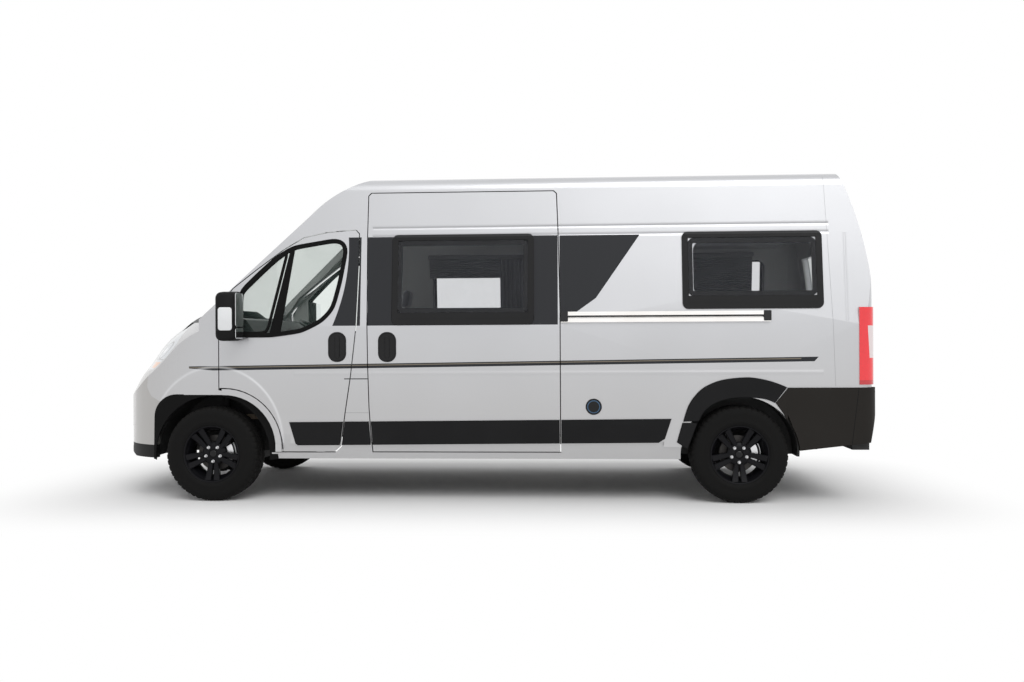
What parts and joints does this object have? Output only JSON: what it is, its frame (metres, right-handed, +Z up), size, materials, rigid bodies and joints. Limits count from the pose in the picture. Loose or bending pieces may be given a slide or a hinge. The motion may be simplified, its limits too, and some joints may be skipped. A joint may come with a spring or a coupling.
{
  "type": "camper van",
  "caption": "High-roof panel-van camper with opening cab and rear doors, bonnet, steered front wheels and a hollow furnished living space.",
  "frame": {"origin": "on the ground under the centre of the van's overall box", "axes": "+X towards the tail, +Y towards the van's right side, +Z up; the sliding door is on the -Y side"},
  "size_m": [5.998, 2.508, 2.541],
  "materials": {
    "silver_paint": "metallic",
    "dark_plastic": "textured",
    "black_plastic": "satin",
    "lamp_clear": "clear",
    "lamp_red": "gloss",
    "glass": "tinted",
    "tinted_acrylic": "tinted, black framed",
    "rail_metal": "satin",
    "chassis_black": "satin black",
    "cast_metal": "cast",
    "steel": "dull",
    "tank_plastic": "matt",
    "fabric": "woven",
    "board": "laminate",
    "tyre": "rubber",
    "black_alloy": "satin black"
  },
  "bodies": {
    "root": {"side_left": "silver_paint", "side_right": "silver_paint", "roof": "silver_paint", "windscreen_frame": "silver_paint", "wing_left": "silver_paint", "wing_right": "silver_paint", "sliding_door": "silver_paint", "bumper_front": "dark_plastic", "rear_bumper": "dark_plastic", "grille": "black_plastic", "dashboard": "black_plastic", "scuttle": "black_plastic", "headlamps": "lamp_clear", "rear_lamps": "lamp_red", "windscreen": "glass", "window_sliding_door": "tinted_acrylic", "side_windows": "tinted_acrylic", "rooflights": "tinted_acrylic", "slide_rail": "rail_metal", "floor": "chassis_black", "front_structure": "chassis_black", "front_subframe": "chassis_black", "rear_axle": "chassis_black", "engine": "cast_metal", "exhaust": "steel", "fuel_tank": "tank_plastic", "cab_seats": "fabric", "kitchen_unit": "board", "washroom": "board", "rear_benches": "board", "overhead_lockers": "board"},
    "front_hub_left": {"knuckle_left": "chassis_black"},
    "front_hub_right": {"knuckle_right": "chassis_black"},
    "wheel_front_left": {"tyre_front_left": "tyre", "rim_front_left": "black_alloy"},
    "wheel_front_right": {"tyre_front_right": "tyre", "rim_front_right": "black_alloy"},
    "wheel_rear_left": {"tyre_rear_left": "tyre", "rim_rear_left": "black_alloy"},
    "wheel_rear_right": {"tyre_rear_right": "tyre", "rim_rear_right": "black_alloy"},
    "rack": {"steering_rack": "chassis_black"},
    "hand_wheel": {"steering_wheel": "black_plastic"},
    "cab_door_left": {"cab_door_left": "silver_paint", "cab_glass_left": "glass", "mirror_left": "dark_plastic"},
    "cab_door_right": {"cab_door_right": "silver_paint", "cab_glass_right": "glass", "mirror_right": "dark_plastic"},
    "rear_door_left": {"rear_door_left": "silver_paint", "rear_glass_left": "glass"},
    "rear_door_right": {"rear_door_right": "silver_paint", "rear_glass_right": "glass"},
    "bonnet": {"bonnet": "silver_paint"}
  },
  "joints": [
    {"name": "steer_left", "type": "hinge", "parent": "root", "child": "front_hub_left", "pos_m": [-2.051, -0.775, 0.365], "axis": [0, 0, 1], "range_deg": [-35, 35]},
    {"name": "steer_right", "type": "hinge", "parent": "root", "child": "front_hub_right", "pos_m": [-2.051, 0.775, 0.365], "axis": [0, 0, 1], "range_deg": [-35, 35]},
    {"name": "rack_slide", "type": "slide", "parent": "root", "child": "rack", "axis": [0, 1, 0], "range_m": [-0.088, 0.088]},
    {"name": "hand_wheel_turn", "type": "hinge", "parent": "root", "child": "hand_wheel", "pos_m": [-1.576, 0.4, 1.325], "axis": [0.4695, 0, 0.8829], "range_deg": [-525, 525]},
    {"name": "spin_front_left", "type": "hinge", "parent": "front_hub_left", "child": "wheel_front_left", "pos_m": [-2.051, -0.905, 0.365], "axis": [0, 1, 0], "continuous": true},
    {"name": "spin_front_right", "type": "hinge", "parent": "front_hub_right", "child": "wheel_front_right", "pos_m": [-2.051, 0.905, 0.365], "axis": [0, 1, 0], "continuous": true},
    {"name": "spin_rear_left", "type": "hinge", "parent": "root", "child": "wheel_rear_left", "pos_m": [1.984, -0.895, 0.365], "axis": [0, 1, 0], "continuous": true},
    {"name": "spin_rear_right", "type": "hinge", "parent": "root", "child": "wheel_rear_right", "pos_m": [1.984, 0.895, 0.365], "axis": [0, 1, 0], "continuous": true},
    {"name": "cab_door_left_hinge", "type": "hinge", "parent": "root", "child": "cab_door_left", "pos_m": [-1.99475, -1.021, 1.2], "axis": [0, 0, -1], "range_deg": [0, 70]},
    {"name": "cab_door_right_hinge", "type": "hinge", "parent": "root", "child": "cab_door_right", "pos_m": [-1.99475, 1.021, 1.2], "axis": [0, 0, 1], "range_deg": [0, 70]},
    {"name": "rear_door_left_hinge", "type": "hinge", "parent": "root", "child": "rear_door_left", "pos_m": [2.985, -0.8795, 1.4], "axis": [0, 0, -1], "range_deg": [0, 96]},
    {"name": "rear_door_right_hinge", "type": "hinge", "parent": "root", "child": "rear_door_right", "pos_m": [2.985, 0.8795, 1.4], "axis": [0, 0, 1], "range_deg": [0, 96]},
    {"name": "bonnet_hinge", "type": "hinge", "parent": "root", "child": "bonnet", "pos_m": [-2.403, 0, 1.452], "axis": [0, 1, 0], "range_deg": [0, 55]}
  ],
  "couplings": [
    {"joint": "steer_right", "follows": "steer_left", "ratio": 1},
    {"joint": "rack_slide", "follows": "steer_left", "m_per_rad": 0.142},
    {"joint": "hand_wheel_turn", "follows": "steer_left", "ratio": 15}
  ]
}
